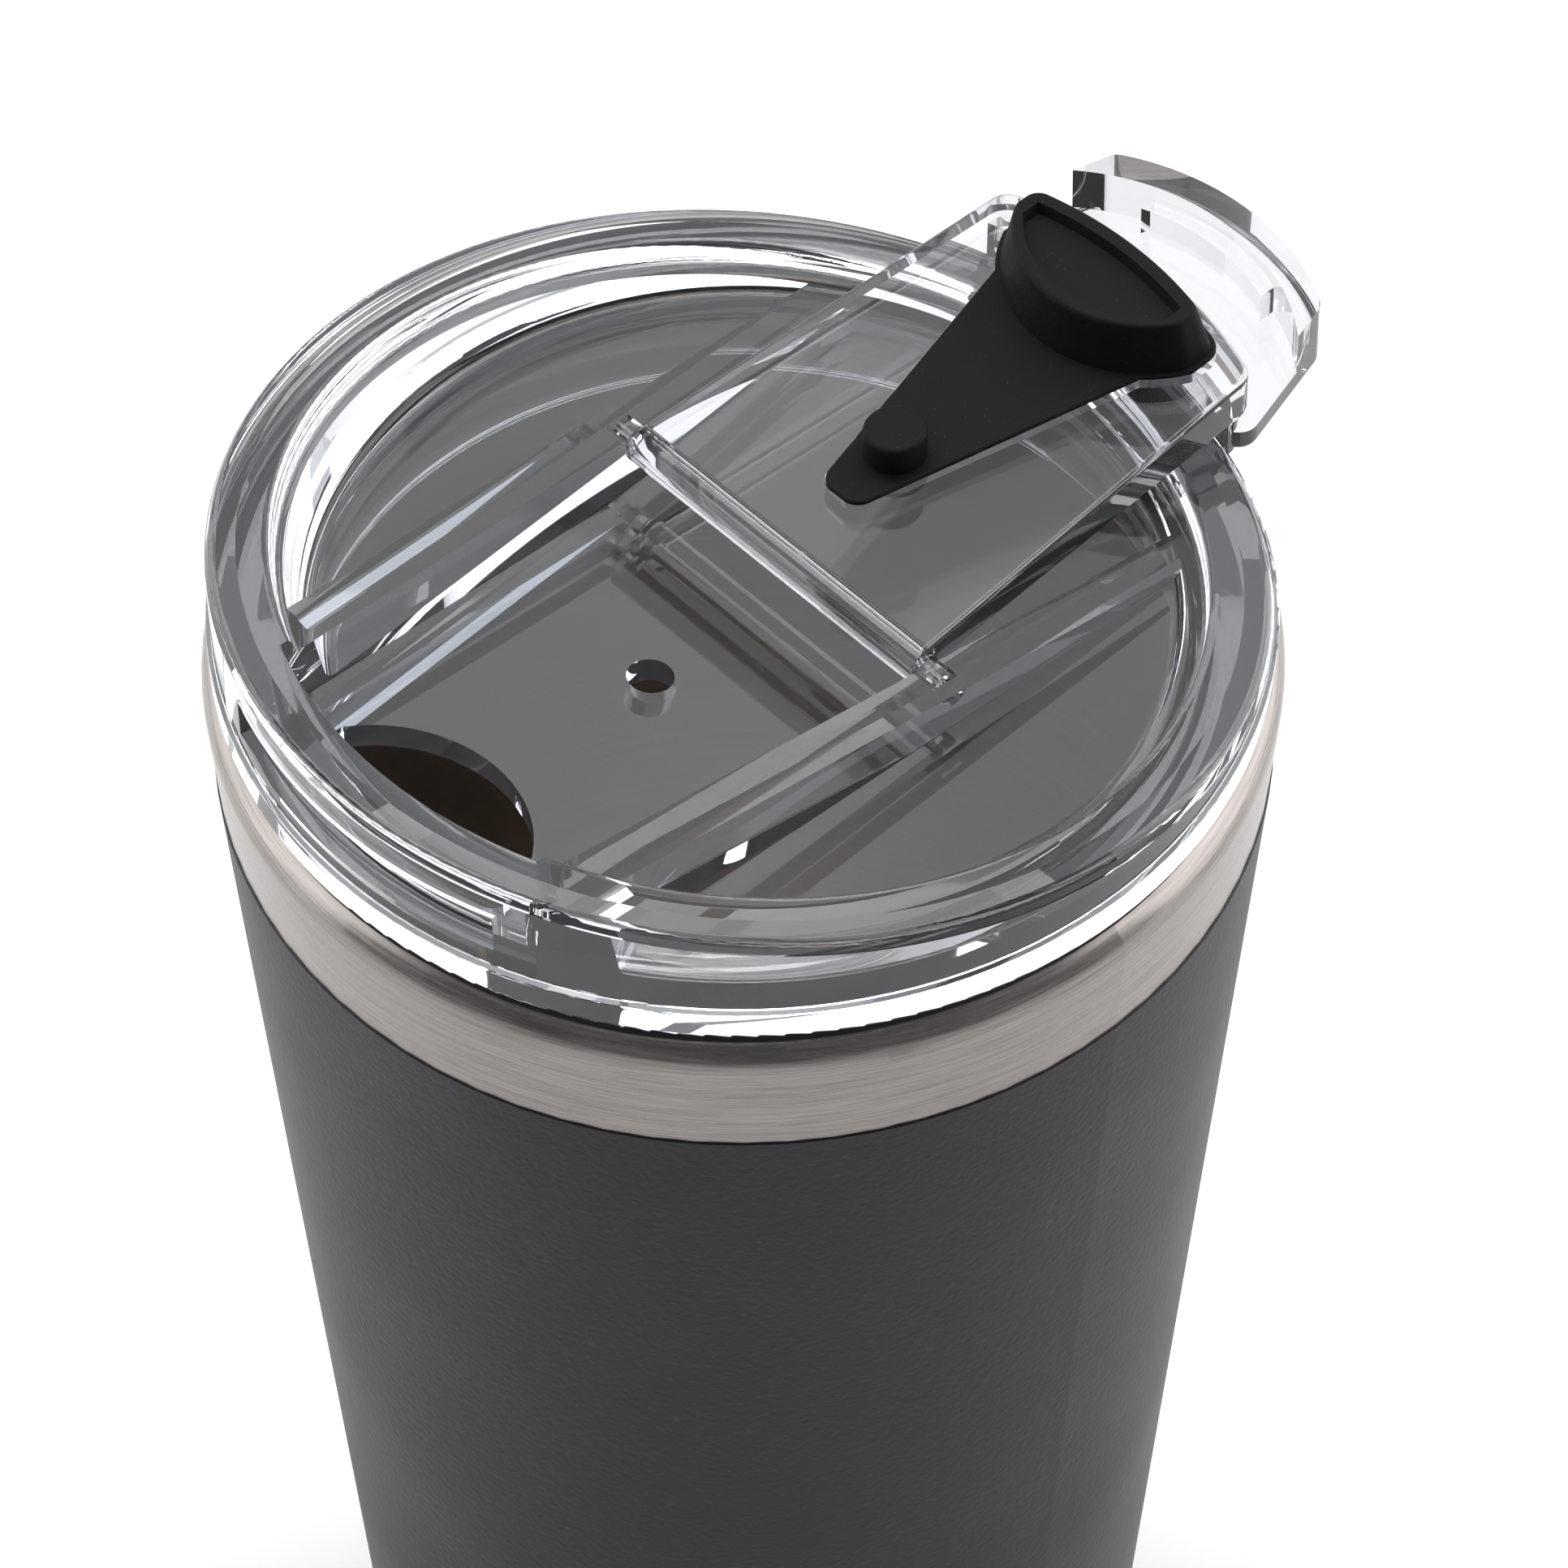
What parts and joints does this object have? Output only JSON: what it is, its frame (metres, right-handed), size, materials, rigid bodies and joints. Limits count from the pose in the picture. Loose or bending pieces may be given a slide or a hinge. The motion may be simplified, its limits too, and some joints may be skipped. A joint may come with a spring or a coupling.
{
  "type": "insulated_tumbler",
  "caption": "Insulated steel tumbler with a powder-coated wall, a bare steel band and a clear push-in lid with a hinged drink closure",
  "frame": {"origin": "Centre of the cup's base, on the plane it stands on", "axes": "Z is the cup's axis and points up to the lid; -Y points to the drinking side; X runs along the closure's hinge axis"},
  "size_m": [0.0903, 0.1044, 0.1739],
  "materials": {
    "bare_steel": "fine horizontal brushing",
    "charcoal_coat": "satin powder coat with fine orange peel",
    "sheet_steel": "plain rolled sheet",
    "liner_steel": "satin spun finish",
    "base_steel": "circular brushing",
    "getter": "pressed matte metal powder",
    "solder": "dull solder",
    "clear_lid": "clear moulded plastic, polished",
    "clear_flip": "clear moulded plastic, polished",
    "black_silicone": "matte silicone with a fine speckle"
  },
  "bodies": {
    "cup": {"shell_tube": "bare_steel", "powder_coat": "charcoal_coat", "shell_bottom": "sheet_steel", "liner_tube": "liner_steel", "liner_bottom": "liner_steel", "base_cover": "base_steel", "getter_pellet": "getter", "getter_strap": "sheet_steel", "seal_bead": "solder"},
    "lid": {"lid_body": "clear_lid", "lid_gasket": "black_silicone"},
    "flip": {"flip_closure": "clear_flip", "flip_plug": "black_silicone"}
  },
  "joints": [
    {"name": "lid_lift", "type": "slide", "parent": "cup", "child": "lid", "axis": [0, 0, 1], "range_m": [0, 0.06]},
    {"name": "flip_hinge", "type": "hinge", "parent": "lid", "child": "flip", "pos_m": [0, 0.0042, 0.1651], "axis": [1, 0, 0], "range_deg": [0, 169]}
  ]
}
